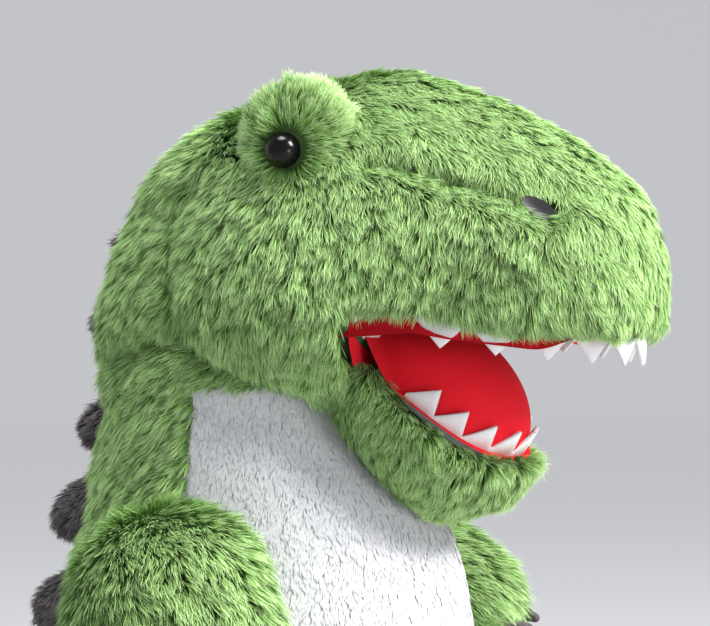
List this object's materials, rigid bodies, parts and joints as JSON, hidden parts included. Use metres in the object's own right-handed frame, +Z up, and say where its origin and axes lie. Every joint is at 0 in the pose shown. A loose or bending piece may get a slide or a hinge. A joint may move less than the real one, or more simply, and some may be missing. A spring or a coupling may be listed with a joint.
{
  "type": "stuffed dinosaur",
  "caption": "Standing plush tyrannosaur in green faux fur with a white front, open red mouth with felt teeth, grey back spikes, soft arms, movable head, jaw and tail.",
  "frame": {"origin": "on the ground under the middle of the bounding box", "axes": "+Z up; the animal faces -Y, its own right side is -X"},
  "size_m": [0.2502, 0.388, 0.4164],
  "materials": {
    "green_plush": "long soft faux fur",
    "white_plush": "short soft pile",
    "grey_plush": "short soft pile",
    "sole_plush": "short soft pile",
    "red_lining": "short velvet pile",
    "white_felt": "matte felt",
    "nostril_felt": "matte felt",
    "eye_plastic": "polished",
    "washer_plastic": "moulded",
    "filling": "polyester fibre",
    "bean_cloth": "plain woven bag"
  },
  "bodies": {
    "torso": {"torso_stuffing": "filling", "bean_bag": "bean_cloth", "belly_panel": "white_plush", "body_side_right": "green_plush", "body_side_left": "green_plush", "back_spike_1": "grey_plush", "back_spike_2": "grey_plush", "back_spike_3": "grey_plush", "back_spike_4": "grey_plush", "leg_skin_right": "green_plush", "leg_stuffing_right": "filling", "foot_sole_right": "sole_plush", "toe_claws_right": "grey_plush", "leg_skin_left": "green_plush", "leg_stuffing_left": "filling", "foot_sole_left": "sole_plush", "toe_claws_left": "grey_plush"},
    "neck": {"neck_stuffing": "filling"},
    "head": {"head_stuffing": "filling", "head_top_gusset": "green_plush", "head_side_right": "green_plush", "head_side_left": "green_plush", "brow_right": "green_plush", "brow_left": "green_plush", "eye_right": "eye_plastic", "eye_left": "eye_plastic", "eye_washer_right": "washer_plastic", "eye_washer_left": "washer_plastic", "nostril_right": "nostril_felt", "nostril_left": "nostril_felt", "palate_lining": "red_lining", "upper_teeth": "white_felt", "head_spike_1": "grey_plush", "head_spike_2": "grey_plush"},
    "jaw": {"jaw_skin": "green_plush", "tongue_lining": "red_lining", "jaw_stuffing": "filling", "lower_teeth": "white_felt"},
    "arm_right": {"arm_outer_right": "green_plush", "arm_inner_right": "green_plush", "arm_stuffing_right": "filling", "hand_claws_right": "grey_plush"},
    "arm_left": {"arm_outer_left": "green_plush", "arm_inner_left": "green_plush", "arm_stuffing_left": "filling", "hand_claws_left": "grey_plush"},
    "tail": {"tail_side_right": "green_plush", "tail_side_left": "green_plush", "tail_underside": "white_plush", "tail_stuffing": "filling", "tail_spike_1": "grey_plush", "tail_spike_2": "grey_plush", "tail_spike_3": "grey_plush"}
  },
  "joints": [
    {"name": "head_turn", "type": "hinge", "parent": "torso", "child": "neck", "pos_m": [0, -0.01, 0.3], "axis": [0, 0, 1], "range_deg": [-15, 15], "stiffness_Nm_per_rad": 2},
    {"name": "head_nod", "type": "hinge", "parent": "neck", "child": "head", "pos_m": [0, -0.01, 0.3], "axis": [1, 0, 0], "range_deg": [-8, 5], "stiffness_Nm_per_rad": 4},
    {"name": "jaw_hinge", "type": "hinge", "parent": "head", "child": "jaw", "pos_m": [0, -0.08, 0.298], "axis": [1, 0, 0], "range_deg": [-8, 6], "stiffness_Nm_per_rad": 1},
    {"name": "arm_right_swing", "type": "hinge", "parent": "torso", "child": "arm_right", "pos_m": [-0.0695, -0.018, 0.2], "axis": [0.9848, 0, -0.1736], "range_deg": [-45, 8], "stiffness_Nm_per_rad": 0.6},
    {"name": "arm_left_swing", "type": "hinge", "parent": "torso", "child": "arm_left", "pos_m": [0.0695, -0.018, 0.2], "axis": [0.9848, 0, 0.1736], "range_deg": [-25, 40], "stiffness_Nm_per_rad": 0.6},
    {"name": "tail_wag", "type": "hinge", "parent": "torso", "child": "tail", "pos_m": [0, 0.058, 0.084], "axis": [0, 0, 1], "range_deg": [-12, 12], "stiffness_Nm_per_rad": 2}
  ]
}
